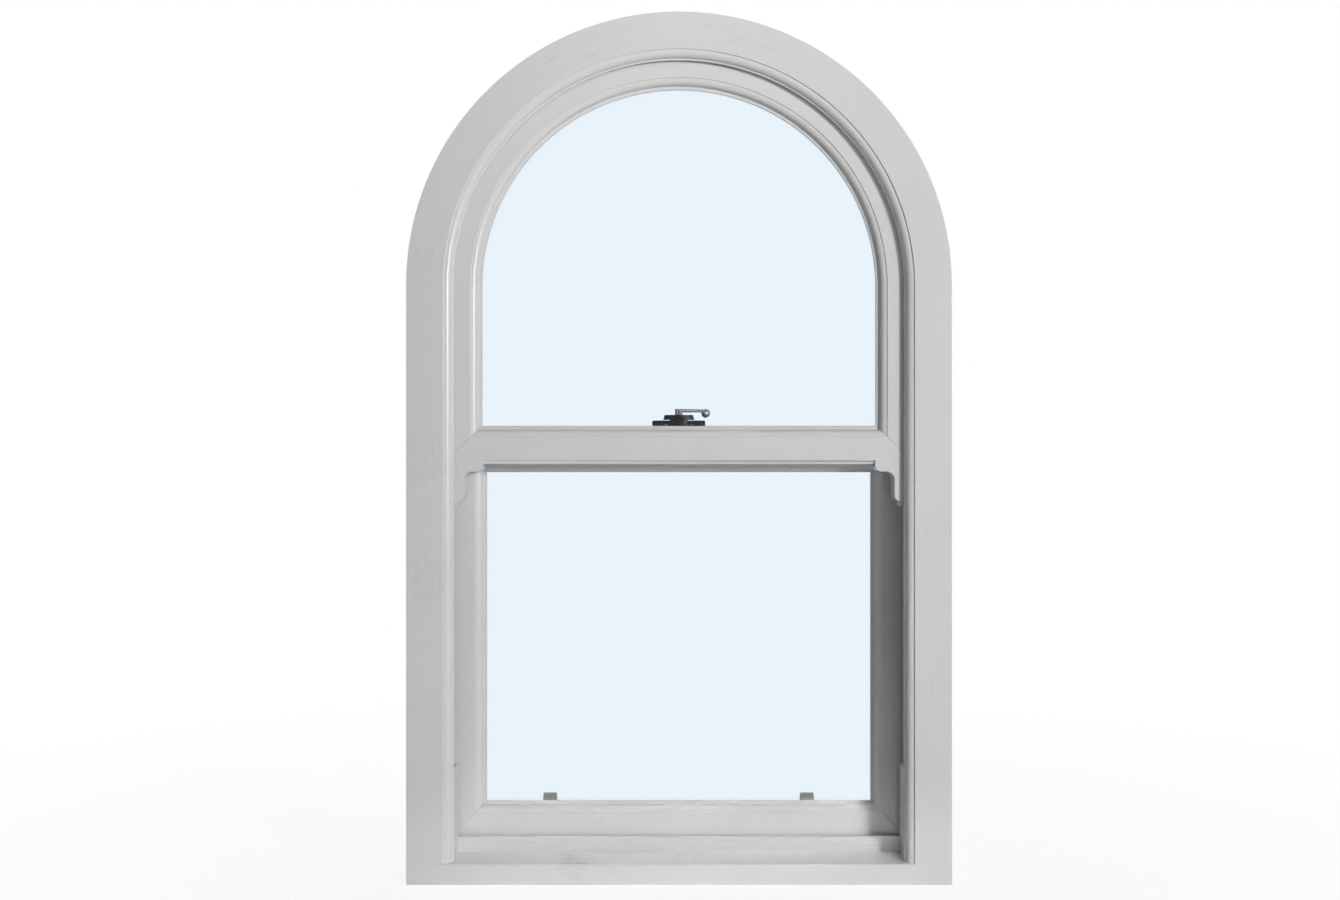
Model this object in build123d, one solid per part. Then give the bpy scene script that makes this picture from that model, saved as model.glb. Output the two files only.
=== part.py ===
from build123d import *
import math
import os

# Sliding sash window with a half-round head, seen from outside along +Y.
# The origin is the middle of the underside. +X is the right-hand side seen from
# outside, +Y points into the room and +Z points up. All sizes are in millimetres.

# Driving dimensions of the frame
frame_width = 750.0
frame_height = 1200.0
frame_depth = 135.0
frame_face = 51.0
moulding_width = 13.0
track_height = 19.0
nose_height = 28.3
sill_fall = 3.5
riser_height = 19.7
riser_thickness = 12.0
riser_ribs = 3
riser_rib_depth = 0.6
riser_rib_ledge = 0.9
inner_track_height = 33.0
clip_groove_width = 9.0
clip_groove_depth = 4.0
clip_groove_inset = 30.0

# Depths through the frame, and the play round every moving piece
nib_depth = 14.0
parting_bead_thickness = 4.0
parting_bead_height = 12.0
staff_bead_depth = 17.0
bottom_bead_height = 19.0
running_gap = 5.0

# Mouldings: a small square step, a narrow shelf and then a convex quarter round, which
# is drawn as a few narrow flats so that the curved heads stay light
frame_step = 2.0
frame_shelf = 2.0
frame_ovolo = 9.0
sash_step = 1.5
sash_shelf = 1.0
sash_ovolo = 9.0
ovolo_flats = 6
fin_bevel = 1.0
staff_bevel = 6.0
bead_bevel = 4.5
ledge_bevel = 1.0

# Driving dimensions of the sashes
stile_width = 50.0
sash_moulding = 14.0
meeting_rail_height = 52.0
lower_top_rail_height = 61.0
bottom_rail_height = 58.0
meeting_height = 578.0
drip_height = 5.0
drip_depth = 4.0
rail_lap = 50.0
interlock_depth = 4.5
interlock_end_gap = 6.0

# Glass units: two panes on a spacer, set in a rebate behind a thin lip
pane_thickness = 4.0
spacer_width = 5.5
glazing_bead_depth = 7.5
bead_set_back = 5.5
lip_set_in = 0.5
lip_thickness = 1.5
glass_cover = 11.0

# Horns under the upper sash
horn_height = 64.0
horn_width = 53.0
horn_nose_drop = 6.0
horn_nose_radius = 9.5
horn_flat = 6.0
horn_cove_radius = 11.5
horn_neck = 21.0
horn_toe_radius = 9.0

# Spring balance tubes in the grooves of the sash edges
balance_groove_width = 16.0
balance_groove_depth = 16.0
tube_diameter = 13.0
tube_gap = 1.0
upper_tube_length = 290.0
lower_tube_length = 415.0
tube_drop = 10.0
tube_lug_width = 9.0
tube_lug_height = 22.0

# Stop blocks in the outer track
stop_block_top = 157.0

# Catch on the meeting rails
catch_base_length = 76.0
catch_base_width = 30.0
catch_base_height = 11.5
catch_end_radius = 6.0
catch_bevel = 1.2
post_diameter = 11.6
post_height = 9.5
hub_diameter = 26.0
hub_height = 7.0
turning_gap = 0.5
lever_length = 38.7
lever_width = 8.0
lever_thickness = 5.2
knob_diameter = 12.8
knob_bevel = 3.2
hook_outer_radius = 38.0
hook_thickness = 3.0
hook_width = 40.0
hook_flare = 2.0
hook_plate_thickness = 2.0
keeper_gap = 1.0
keeper_thickness = 3.0
keeper_width = 24.0
keeper_foot_length = 44.0
keeper_foot_thickness = 3.0

# Finger lifts on the room side of the bottom rail
lift_spacing = 373.0
lift_width = 19.0
lift_thickness = 3.0
lift_radius = 8.0
lift_crown_height = 99.5
lift_plate_height = 34.0
lift_lip_drop = 10.0

# Sizes worked out from the driving dimensions
half_width = frame_width / 2
springing = frame_height - half_width
face_edge = half_width - frame_face
nib_edge = face_edge - moulding_width
track_floor = nib_edge + track_height
parting_edge = track_floor - parting_bead_height
sash_half_width = track_floor - running_gap
sight_half_width = sash_half_width - stile_width

sash_space = frame_depth - nib_depth - parting_bead_thickness - staff_bead_depth
sash_thickness = (sash_space - 4 * running_gap) / 2
upper_front = nib_depth + running_gap
upper_back = upper_front + sash_thickness
parting_front = upper_back + running_gap
lower_front = parting_front + parting_bead_thickness + running_gap
lower_back = lower_front + sash_thickness
staff_front = frame_depth - staff_bead_depth

riser_front = parting_front - riser_thickness
slope_top = nose_height + sill_fall
riser_top = slope_top + riser_height
lower_bottom = inner_track_height + running_gap

upper_sight_bottom = meeting_height + meeting_rail_height
face_bottom = meeting_height + drip_height
lower_top = meeting_height + rail_lap
lower_sight_top = lower_top - lower_top_rail_height
lower_sight_bottom = lower_bottom + bottom_rail_height

lip_front = sash_step + sash_ovolo + lip_set_in
glass_front = lip_front + lip_thickness
glass_back = sash_thickness - glazing_bead_depth
spacer_depth = glass_back - glass_front - 2 * pane_thickness
interlock_half_width = parting_edge - interlock_end_gap
horn_inner = sash_half_width - horn_width
groove_front = (sash_thickness - balance_groove_width) / 2
groove_back = groove_front + balance_groove_width
post_depth = (lower_front + lower_back) / 2


def y_at(depth):
    """Y of a depth counted from the outer face of the frame."""
    return depth - frame_depth / 2


def both_sides(shape):
    """The right-hand piece and its mirror image on the left."""
    return shape, mirror(shape, Plane.YZ)


def polygon(*points):
    """A closed outline with straight sides, where neighbouring points may coincide."""
    return make_face(Polyline(*dict.fromkeys(points), close=True))


def quarter_round(x, y, radius):
    """Corners of the flats of a convex quarter round, from its side end to its front end."""
    turn = math.pi / 2 / ovolo_flats
    angles = [turn * i for i in range(ovolo_flats + 1)]
    return [(x - radius * math.cos(a), y - radius * math.sin(a)) for a in angles]


def plate(outline, front, back):
    """An outline drawn in X and Z, given thickness between two depths."""
    placed = Pos(0, y_at(front), 0) * (Plane.XZ * outline)
    return extrude(placed, amount=back - front, dir=(0, 1, 0))


def block(x_range, depth_range, z_range):
    """A square block between two X, two depths and two heights."""
    (x0, x1), (z0, z1) = x_range, z_range
    return plate(polygon((x0, z0), (x1, z0), (x1, z1), (x0, z1)), *depth_range)


def post(diameter, x, depth, low, high):
    """A round upright pin."""
    return extrude(Pos(x, y_at(depth), low) * Circle(diameter / 2), amount=high - low)


def upright(section, inner_x, depth, low, high):
    """A right-hand upright whose section's own X points away from the middle."""
    return extrude(Pos(inner_x, y_at(depth), low) * section, amount=high - low, dir=(0, 0, 1))


def arch(section, inner_radius, depth):
    """The same section carried round the half circle above the springing line."""
    placed = Pos(inner_radius, y_at(depth), springing) * section
    return revolve(placed, Axis((0, 0, springing), (0, -1, 0)), 180)


def level(section, sight, far, depth):
    """A level member from side to side, its section's own X running from sight to far."""
    way = 1 if far > sight else -1
    start = Plane(
        origin=(way * sash_half_width, y_at(depth), sight),
        x_dir=(0, 0, way),
        z_dir=(-way, 0, 0),
    )
    return extrude(start * section, amount=2 * sash_half_width)


def level_outline(sight, far, mitre):
    """A level member seen from outside, its ends cut back at 45 degrees over the mitre."""
    way = 1 if far > sight else -1
    slant = min(mitre, abs(far - sight))
    corner = sight_half_width + slant
    right = [(sight_half_width, sight), (corner, sight + way * slant), (corner, far)]
    left = [(-x, z) for x, z in reversed(right)]
    return polygon(*right, *left)


def upright_outline(low_sight, high_sight, mitre):
    """A right-hand upright seen from outside, cut at 45 degrees at both ends."""
    outer = sight_half_width + mitre
    return polygon(
        (sight_half_width, low_sight),
        (outer, low_sight - mitre),
        (outer, high_sight + mitre),
        (sight_half_width, high_sight),
    )


# Frame


def frame_section():
    """Jamb and head: back wall with two clip grooves, and the outer nib's moulded edge."""
    nib_x = -track_height
    face_x = face_edge - track_floor
    back_x = half_width - track_floor
    quarter_x = face_x - frame_shelf
    quarter_y = frame_step + frame_ovolo
    points = quarter_round(quarter_x, quarter_y, frame_ovolo)
    points += [(face_x, frame_step), (face_x, 0), (back_x, 0)]
    for front in (clip_groove_inset, frame_depth - clip_groove_inset - clip_groove_width):
        floor_x = back_x - clip_groove_depth
        back = front + clip_groove_width
        points += [(back_x, front), (floor_x, front), (floor_x, back), (back_x, back)]
    points += [
        (back_x, frame_depth),
        (0, frame_depth),
        (0, nib_depth),
        (nib_x, nib_depth),
        (nib_x, quarter_y),
    ]
    return polygon(*points)


def riser_face():
    """Ribs of the riser from its foot up: each leans forward and ends in a sloped ledge."""
    rib_height = riser_height / riser_ribs
    points = []
    for rib in range(riser_ribs):
        foot = slope_top + rib * rib_height
        points.append((y_at(riser_front + riser_rib_depth), foot))
        points.append((y_at(riser_front), foot + rib_height - riser_rib_ledge))
    return points


def frame_sill():
    """Full-width sill with a nose, a sloped top, a ribbed riser and the inner track floor."""
    slab = block((-half_width, half_width), (0, frame_depth), (0, nose_height))
    profile = Polyline(
        (y_at(0), nose_height),
        *riser_face(),
        (y_at(riser_front + riser_rib_depth), riser_top),
        (y_at(parting_front), riser_top),
        (y_at(parting_front), inner_track_height),
        (y_at(frame_depth), inner_track_height),
        (y_at(frame_depth), nose_height),
        close=True,
    )
    top = extrude(Plane.YZ * make_face(profile), amount=track_floor, both=True)
    notch = block((nib_edge, track_floor), (0, nib_depth), (nose_height, riser_top))
    for side in both_sides(notch):
        top = top - side
    return slab + top


def bevelled_bar(height, depth, bevel, both_edges):
    """Section of a bead on the track floor, with its free room-side edge bevelled."""
    face = Pos(-height / 2, depth / 2) * Rectangle(height, depth)
    free = face.vertices().sort_by(Axis.X)[:2]
    if not both_edges:
        free = free.sort_by(Axis.Y)[-1:]
    return chamfer(free, bevel)


def frame_bead(section, front):
    """One upright bead and the bead of the head, on the track floor."""
    side = upright(section, track_floor, front, inner_track_height, springing)
    return side, arch(section, track_floor, front)


def staff_bead_bottom():
    """The room-side bead along the sill, between the two upright beads."""
    high = inner_track_height + bottom_bead_height
    bar = block((-nib_edge, nib_edge), (staff_front, frame_depth), (inner_track_height, high))
    edge = bar.edges().filter_by(Axis.X).group_by(Axis.Z)[-1].sort_by(Axis.Y)[-1]
    return chamfer(edge, staff_bevel)


def stop_block(sill):
    """Filler in the outer track that stops the upper sash, cut to the sill's slope."""
    bar = block((nib_edge, track_floor), (nib_depth, riser_front), (nose_height, stop_block_top))
    return bar - sill


def balance_tubes(sash_front, length):
    """Spring tubes of one sash, each hung by a lug from the track near the springing."""
    depth = sash_front + sash_thickness / 2
    x = track_floor - tube_gap - tube_diameter / 2
    top = springing - tube_drop
    tube = post(tube_diameter, x, depth, top - length, top)
    half_lug = tube_lug_width / 2
    lug = block((x, track_floor), (depth - half_lug, depth + half_lug), (top - tube_lug_height, top))
    right, left = both_sides(tube + lug)
    return right + left


# Sashes


def sash_section(width, grooved):
    """Sash member: flat face, step, quarter round, thin lip and open glass rebate."""
    quarter_x = sash_moulding - sash_shelf
    quarter_y = sash_step + sash_ovolo
    tip = quarter_x - sash_ovolo
    points = quarter_round(quarter_x, quarter_y, sash_ovolo)
    points += [(sash_moulding, sash_step), (sash_moulding, 0), (width, 0)]
    if grooved:
        floor = width - balance_groove_depth
        points += [(width, groove_front), (floor, groove_front)]
        points += [(floor, groove_back), (width, groove_back)]
    points += [
        (width, sash_thickness),
        (sash_moulding, sash_thickness),
        (sash_moulding, glass_front),
        (0, glass_front),
        (0, lip_front),
        (tip, lip_front),
    ]
    return polygon(*points)


def glazing_bead_section(bevel):
    """Clip-in bead that holds the glass from the room side, set back from the sight line."""
    width = sash_moulding - bead_set_back
    middle = (bead_set_back + sash_moulding) / 2
    face = Pos(middle, glass_back + glazing_bead_depth / 2) * Rectangle(width, glazing_bead_depth)
    corner = face.vertices().sort_by(Axis.X)[:2].sort_by(Axis.Y)[-1]
    return chamfer(corner, bevel)


def cut_balance_grooves(member, sash_front, low, high):
    """Carry the grooves of the sash edges through a member between two heights."""
    groove = block(
        (sash_half_width - balance_groove_depth, track_floor),
        (sash_front + groove_front, sash_front + groove_back),
        (low, high),
    )
    for side in both_sides(groove):
        member = member - side
    return member


def sash_rail(sight, far, front):
    """Level sash member mitred to the stiles."""
    section = sash_section(abs(far - sight), False)
    outline = level_outline(sight, far, stile_width)
    bar = level(section, sight, far, front) & plate(outline, front, front + sash_thickness)
    return cut_balance_grooves(bar, front, min(sight, far), max(sight, far))


def sash_stile(low_sight, high_sight, low_end, high_end, front):
    """Right-hand sash upright between two heights, mitred to the level members."""
    bar = upright(sash_section(stile_width, True), sight_half_width, front, low_end, high_end)
    outline = upright_outline(low_sight, high_sight, stile_width)
    return bar & plate(outline, front, front + sash_thickness)


def interlock_lip(front, back, high):
    """Lip that closes the space between the meeting rails, clear of the parting beads."""
    return block((-interlock_half_width, interlock_half_width), (front, back), (face_bottom, high))


def upper_meeting_rail():
    """Rail under the upper glass, with a drip step below and an interlock lip behind."""
    bar = sash_rail(upper_sight_bottom, meeting_height, upper_front)
    step = block(
        (-horn_inner, horn_inner),
        (upper_front, upper_front + drip_depth),
        (meeting_height, face_bottom),
    )
    horn_seat = block(
        (horn_inner, sash_half_width), (upper_front, upper_back), (meeting_height, face_bottom)
    )
    for side in both_sides(horn_seat):
        bar = bar - side
    lip = interlock_lip(upper_back, upper_back + interlock_depth, upper_sight_bottom)
    return bar - step + lip


def lower_top_rail():
    """Rail over the lower glass, with the other half of the interlock in front."""
    bar = sash_rail(lower_sight_top, lower_top, lower_front)
    return bar + interlock_lip(lower_front - interlock_depth, lower_front, lower_top)


def sash_horn():
    """Ogee horn: nose, flat, cove, neck, toe and a square step at its foot."""
    foot = face_bottom - horn_height
    nose_z = face_bottom - horn_nose_drop
    flat_z = nose_z - horn_nose_radius
    neck_z = flat_z - horn_cove_radius
    toe_z = neck_z - horn_neck
    flat_x = horn_inner + horn_nose_radius
    cove_x = flat_x + horn_flat
    neck_x = cove_x + horn_cove_radius
    step_x = neck_x + horn_toe_radius
    edges = [
        Line((horn_inner, face_bottom), (horn_inner, nose_z)),
        CenterArc((flat_x, nose_z), horn_nose_radius, 180, 90),
        Line((flat_x, flat_z), (cove_x, flat_z)),
        CenterArc((cove_x, neck_z), horn_cove_radius, 0, 90),
        Line((neck_x, neck_z), (neck_x, toe_z)),
        CenterArc((step_x, toe_z), horn_toe_radius, 180, 90),
        Polyline(
            (step_x, toe_z - horn_toe_radius),
            (step_x, foot),
            (sash_half_width, foot),
            (sash_half_width, face_bottom),
            (horn_inner, face_bottom),
        ),
    ]
    horn = plate(make_face(edges), upper_front, upper_back)
    return cut_balance_grooves(horn, upper_front, foot, face_bottom)


def bead_rail(sight, way, front, bevel):
    """Level glazing bead, mitred to its neighbours, above the glass edge or below it."""
    far = sight + way * sash_moulding
    outline = level_outline(sight, far, sash_moulding)
    bar = level(glazing_bead_section(bevel), sight, far, front)
    return bar & plate(outline, front + glass_back, front + sash_thickness)


def bead_upright(low_sight, high_sight, high_end, front):
    """Right-hand upright glazing bead."""
    low_end = low_sight - sash_moulding
    bar = upright(glazing_bead_section(bead_bevel), sight_half_width, front, low_end, high_end)
    outline = upright_outline(low_sight, high_sight, sash_moulding)
    return bar & plate(outline, front + glass_back, front + sash_thickness)


# Glass units


def square_glass(cut_back):
    """Outline of the lower glass, or of the space inside its spacer."""
    half = sight_half_width + glass_cover - cut_back
    low = lower_sight_bottom - glass_cover + cut_back
    high = lower_sight_top + glass_cover - cut_back
    return polygon((-half, low), (half, low), (half, high), (-half, high))


def arched_glass(cut_back):
    """Outline of the upper glass, or of the space inside its spacer."""
    half = sight_half_width + glass_cover - cut_back
    low = upper_sight_bottom - glass_cover + cut_back
    sides = Polyline((half, springing), (half, low), (-half, low), (-half, springing))
    return make_face([CenterArc((0, springing), half, 0, 180), sides])


def glass_unit(outline, front):
    """Outer pane, inner pane and the spacer between their edges."""
    spacer_front = front + glass_front + pane_thickness
    spacer_back = spacer_front + spacer_depth
    outer = plate(outline(0), front + glass_front, spacer_front)
    inner = plate(outline(0), spacer_back, spacer_back + pane_thickness)
    ring = plate(outline(0), spacer_front, spacer_back)
    return outer, inner, ring - plate(outline(spacer_width), spacer_front, spacer_back)


# Catch

hook_inner_radius = hook_outer_radius - hook_thickness
keeper_outer_radius = hook_inner_radius - keeper_gap
keeper_inner_radius = keeper_outer_radius - keeper_thickness
base_top = lower_top + catch_base_height
hub_bottom = base_top + turning_gap
hub_top = hub_bottom + hub_height
plate_bottom = hub_top - hook_plate_thickness
post_top = hub_top + post_height


def ring_sector(outer, inner, outline, low, high):
    """Part of a ring round the catch post, cut to an outline seen from outside."""
    ring = post(2 * outer, 0, post_depth, low, high) - post(2 * inner, 0, post_depth, low, high)
    return ring & plate(outline, post_depth - outer, post_depth)


def catch_base():
    """Plinth on the lower sash's meeting rail, with rounded ends and a bevelled top."""
    outline = RectangleRounded(catch_base_length, catch_base_width, catch_end_radius)
    foot = Pos(0, y_at(post_depth), lower_top) * outline
    body = extrude(foot, amount=catch_base_height, dir=(0, 0, 1))
    return chamfer(body.faces().sort_by(Axis.Z)[-1].edges(), catch_bevel)


def catch_hook():
    """Turning hub with a fan-shaped plate and a lip that drops in front of the keeper."""
    hub = post(hub_diameter, 0, post_depth, hub_bottom, hub_top)
    half = hook_width / 2
    lip_outline = polygon(
        (-half - hook_flare, hub_bottom),
        (half + hook_flare, hub_bottom),
        (half, hub_top),
        (-half, hub_top),
    )
    lip = ring_sector(hook_outer_radius, hook_inner_radius, lip_outline, hub_bottom, hub_top)
    fan = polygon(
        (-hub_diameter / 2, y_at(post_depth)),
        (-half, y_at(post_depth) - hook_outer_radius),
        (half, y_at(post_depth) - hook_outer_radius),
        (hub_diameter / 2, y_at(post_depth)),
    )
    disc = post(2 * hook_outer_radius, 0, post_depth, plate_bottom, hub_top)
    top = extrude(Pos(0, 0, plate_bottom) * fan, amount=hook_plate_thickness, dir=(0, 0, 1))
    return hub + (top & disc) + lip


def catch_lever():
    """Post on the hub with a lever at its top and a turned knob at the lever's end."""
    stem = post(post_diameter, 0, post_depth, hub_top, post_top)
    half = lever_width / 2
    bar = block(
        (0, lever_length),
        (post_depth - half, post_depth + half),
        (post_top - lever_thickness, post_top),
    )
    knob = post(knob_diameter, lever_length, post_depth, post_top - knob_diameter, post_top)
    knob = chamfer(knob.edges().filter_by(GeomType.CIRCLE), knob_bevel)
    return stem + bar + knob


def catch_keeper():
    """Foot on the upper sash's meeting rail with a curved upstand behind the hook."""
    half = keeper_foot_length / 2
    foot_top = upper_sight_bottom + keeper_foot_thickness
    foot = block(
        (-half, half),
        (post_depth - hook_outer_radius, upper_back + interlock_depth),
        (upper_sight_bottom, foot_top),
    )
    half_wall = keeper_width / 2
    wall_top = plate_bottom - keeper_gap
    outline = polygon(
        (-half_wall, foot_top), (half_wall, foot_top), (half_wall, wall_top), (-half_wall, wall_top)
    )
    return foot + ring_sector(
        keeper_outer_radius, keeper_inner_radius, outline, foot_top, wall_top
    )


# Finger lifts


def finger_lift():
    """Plate on the bottom rail that curls over into a lip for the fingers."""
    outer = lift_radius + lift_thickness
    centre_z = lift_crown_height - outer
    plate_y = y_at(lower_back)
    centre_y = plate_y + outer
    low = centre_z - lift_plate_height
    lip_y = centre_y + outer
    lip_z = centre_z - lift_lip_drop
    edges = [
        CenterArc((centre_y, centre_z), outer, 0, 180),
        Polyline(
            (plate_y, centre_z),
            (plate_y, low),
            (plate_y + lift_thickness, low),
            (plate_y + lift_thickness, centre_z),
        ),
        CenterArc((centre_y, centre_z), lift_radius, 0, 180),
        Polyline(
            (lip_y - lift_thickness, centre_z),
            (lip_y - lift_thickness, lip_z),
            (lip_y, lip_z),
            (lip_y, centre_z),
        ),
    ]
    lift = extrude(Plane.YZ * make_face(edges), amount=lift_width / 2, both=True)
    return Pos(lift_spacing / 2, 0, 0) * lift


# All pieces by name

parts = {}


def add_pair(name, shape):
    """File the right-hand piece and its mirror image on the left."""
    parts[name + "_right"], parts[name + "_left"] = both_sides(shape)


def add_glass(name, outline, front):
    """File the two panes and the spacer of one glass unit."""
    outer, inner, ring = glass_unit(outline, front)
    parts[name + "_outer_pane"] = outer
    parts[name + "_inner_pane"] = inner
    parts[name + "_spacer"] = ring


parts["frame_sill"] = frame_sill()
add_pair("frame_jamb", upright(frame_section(), track_floor, 0, nose_height, springing))
parts["frame_head"] = arch(frame_section(), track_floor, 0)

fin = bevelled_bar(parting_bead_height, parting_bead_thickness, fin_bevel, True)
parting_side, parts["parting_bead_head"] = frame_bead(fin, parting_front)
add_pair("parting_bead", parting_side)

staff = bevelled_bar(track_height, staff_bead_depth, staff_bevel, False)
staff_side, parts["staff_bead_head"] = frame_bead(staff, staff_front)
add_pair("staff_bead", staff_side)
parts["staff_bead_bottom"] = staff_bead_bottom()

add_pair("stop_block", stop_block(parts["frame_sill"]))
parts["upper_balance_tubes"] = balance_tubes(upper_front, upper_tube_length)
parts["lower_balance_tubes"] = balance_tubes(lower_front, lower_tube_length)

parts["upper_sash_head"] = arch(sash_section(stile_width, True), sight_half_width, upper_front)
add_pair(
    "upper_stile",
    sash_stile(upper_sight_bottom, springing, face_bottom, springing, upper_front),
)
parts["upper_meeting_rail"] = upper_meeting_rail()
add_pair("sash_horn", sash_horn())
add_pair(
    "upper_glazing_bead",
    bead_upright(upper_sight_bottom, springing, springing, upper_front),
)
parts["upper_glazing_bead_bottom"] = bead_rail(upper_sight_bottom, -1, upper_front, ledge_bevel)
parts["upper_glazing_bead_head"] = arch(
    glazing_bead_section(bead_bevel), sight_half_width, upper_front
)
add_glass("upper", arched_glass, upper_front)
parts["catch_keeper"] = catch_keeper()

parts["lower_top_rail"] = lower_top_rail()
parts["lower_bottom_rail"] = sash_rail(lower_sight_bottom, lower_bottom, lower_front)
add_pair(
    "lower_stile",
    sash_stile(
        lower_sight_bottom,
        lower_sight_top,
        lower_sight_bottom - stile_width,
        lower_sight_top + stile_width,
        lower_front,
    ),
)
add_pair(
    "lower_glazing_bead",
    bead_upright(
        lower_sight_bottom, lower_sight_top, lower_sight_top + sash_moulding, lower_front
    ),
)
parts["lower_glazing_bead_bottom"] = bead_rail(lower_sight_bottom, -1, lower_front, bead_bevel)
parts["lower_glazing_bead_top"] = bead_rail(lower_sight_top, 1, lower_front, bead_bevel)
add_glass("lower", square_glass, lower_front)
add_pair("finger_lift", finger_lift())
parts["catch_base"] = catch_base()

parts["catch_hook"] = catch_hook()
parts["catch_lever"] = catch_lever()

os.makedirs("parts", exist_ok=True)
for name, shape in parts.items():
    export_step(shape, f"parts/{name}.step")
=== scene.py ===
import math

import bpy
import bmesh
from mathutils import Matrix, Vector


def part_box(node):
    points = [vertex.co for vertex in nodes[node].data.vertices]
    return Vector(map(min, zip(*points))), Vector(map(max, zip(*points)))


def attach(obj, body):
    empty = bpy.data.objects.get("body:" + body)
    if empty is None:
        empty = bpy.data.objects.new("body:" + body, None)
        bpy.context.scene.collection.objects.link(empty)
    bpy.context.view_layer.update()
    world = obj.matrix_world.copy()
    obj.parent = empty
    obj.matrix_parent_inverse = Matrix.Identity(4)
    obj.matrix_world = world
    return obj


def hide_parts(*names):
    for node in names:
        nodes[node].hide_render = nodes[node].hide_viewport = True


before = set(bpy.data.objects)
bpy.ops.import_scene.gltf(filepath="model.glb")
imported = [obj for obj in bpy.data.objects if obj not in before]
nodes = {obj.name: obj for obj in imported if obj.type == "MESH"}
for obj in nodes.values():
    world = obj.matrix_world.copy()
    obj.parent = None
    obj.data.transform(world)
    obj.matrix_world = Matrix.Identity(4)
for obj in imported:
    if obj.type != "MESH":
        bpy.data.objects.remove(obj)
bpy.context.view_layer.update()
collection = bpy.context.scene.collection

# Sections of white plastic
# The window is made of extruded white plastic, cut, welded at the corners and cleaned. It
# shows faint drawing lines along each length, a soft gloss and slightly eased edges.

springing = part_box("frame_head")[0].z
horn_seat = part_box("sash_horn_right")[1].z
edge_width = 0.0004
weld_width = 0.0009
edge_angle = 0.5
flat_angle = 0.01
same_point = 0.00001
on_joint = 0.00003
white = (0.70, 0.70, 0.70, 1)
tone_swing = 0.015
gloss_swing = 0.16
line_gloss_swing = 0.06
mottle_scale = 9
grain_scale = 900
grain_share = 0.4
line_height = 0.0002
lines_across = 900
arch_lines_across = 200
lines_along = 4
plastic_ior = 1.5


def link(tree, a, b):
    """Join an output socket to an input socket."""
    tree.links.new(a, b)


def add_math(tree, operation, a, b):
    """A Math node whose inputs are sockets or numbers."""
    node = tree.nodes.new("ShaderNodeMath")
    node.operation = operation
    for socket, value in zip(node.inputs, (a, b)):
        if isinstance(value, (int, float)):
            socket.default_value = value
        else:
            link(tree, value, socket)
    return node.outputs[0]


def make_drawing_lines():
    """Node group: fine lines drawn along a length, with uneven gloss and faint mottling."""
    tree = bpy.data.node_groups.new("drawing_lines", "ShaderNodeTree")
    face = tree.interface
    for name, kind, default in (
        ("Along", "NodeSocketVector", None),
        ("Tone", "NodeSocketColor", (0.8, 0.8, 0.8, 1)),
        ("Gloss", "NodeSocketFloat", 0.35),
        ("Line Depth", "NodeSocketFloat", 0.05),
    ):
        socket = face.new_socket(name, in_out="INPUT", socket_type=kind)
        if default is not None:
            socket.default_value = default
    for name, kind in (
        ("Color", "NodeSocketColor"),
        ("Roughness", "NodeSocketFloat"),
        ("Normal", "NodeSocketVector"),
    ):
        face.new_socket(name, in_out="OUTPUT", socket_type=kind)
    given = tree.nodes.new("NodeGroupInput")
    made = tree.nodes.new("NodeGroupOutput")
    place = tree.nodes.new("ShaderNodeTexCoord")

    lines = tree.nodes.new("ShaderNodeTexNoise")
    lines.inputs["Scale"].default_value = 1
    lines.inputs["Detail"].default_value = 3
    link(tree, given.outputs["Along"], lines.inputs["Vector"])
    mottle = tree.nodes.new("ShaderNodeTexNoise")
    mottle.inputs["Scale"].default_value = mottle_scale
    mottle.inputs["Detail"].default_value = 4
    link(tree, place.outputs["Object"], mottle.inputs["Vector"])
    grain = tree.nodes.new("ShaderNodeTexNoise")
    grain.inputs["Scale"].default_value = grain_scale
    grain.inputs["Detail"].default_value = 2
    link(tree, place.outputs["Object"], grain.inputs["Vector"])

    tone = tree.nodes.new("ShaderNodeHueSaturation")
    shade = tree.nodes.new("ShaderNodeMapRange")
    shade.inputs["From Min"].default_value = 0.3
    shade.inputs["From Max"].default_value = 0.7
    shade.inputs["To Min"].default_value = 1 - tone_swing
    shade.inputs["To Max"].default_value = 1 + tone_swing
    link(tree, mottle.outputs["Fac"], shade.inputs["Value"])
    link(tree, given.outputs["Tone"], tone.inputs["Color"])
    link(tree, shade.outputs["Result"], tone.inputs["Value"])
    link(tree, tone.outputs["Color"], made.inputs["Color"])

    uneven = add_math(tree, "SUBTRACT", mottle.outputs["Fac"], 0.5)
    uneven = add_math(tree, "MULTIPLY", uneven, gloss_swing)
    streak = add_math(tree, "SUBTRACT", lines.outputs["Fac"], 0.5)
    streak = add_math(tree, "MULTIPLY", streak, line_gloss_swing)
    swing = add_math(tree, "ADD", uneven, streak)
    link(tree, add_math(tree, "ADD", given.outputs["Gloss"], swing), made.inputs["Roughness"])

    fine = add_math(tree, "MULTIPLY", grain.outputs["Fac"], grain_share)
    height = add_math(tree, "ADD", lines.outputs["Fac"], fine)
    bump = tree.nodes.new("ShaderNodeBump")
    bump.inputs["Distance"].default_value = line_height
    link(tree, given.outputs["Line Depth"], bump.inputs["Strength"])
    link(tree, height, bump.inputs["Height"])
    link(tree, bump.outputs["Normal"], made.inputs["Normal"])
    return tree


drawing_lines = make_drawing_lines()


def new_material(name):
    """A material with nothing in it but a Principled shader and its output."""
    material = bpy.data.materials.new(name)
    material.use_nodes = True
    tree = material.node_tree
    return material, tree, tree.nodes["Principled BSDF"]


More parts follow.
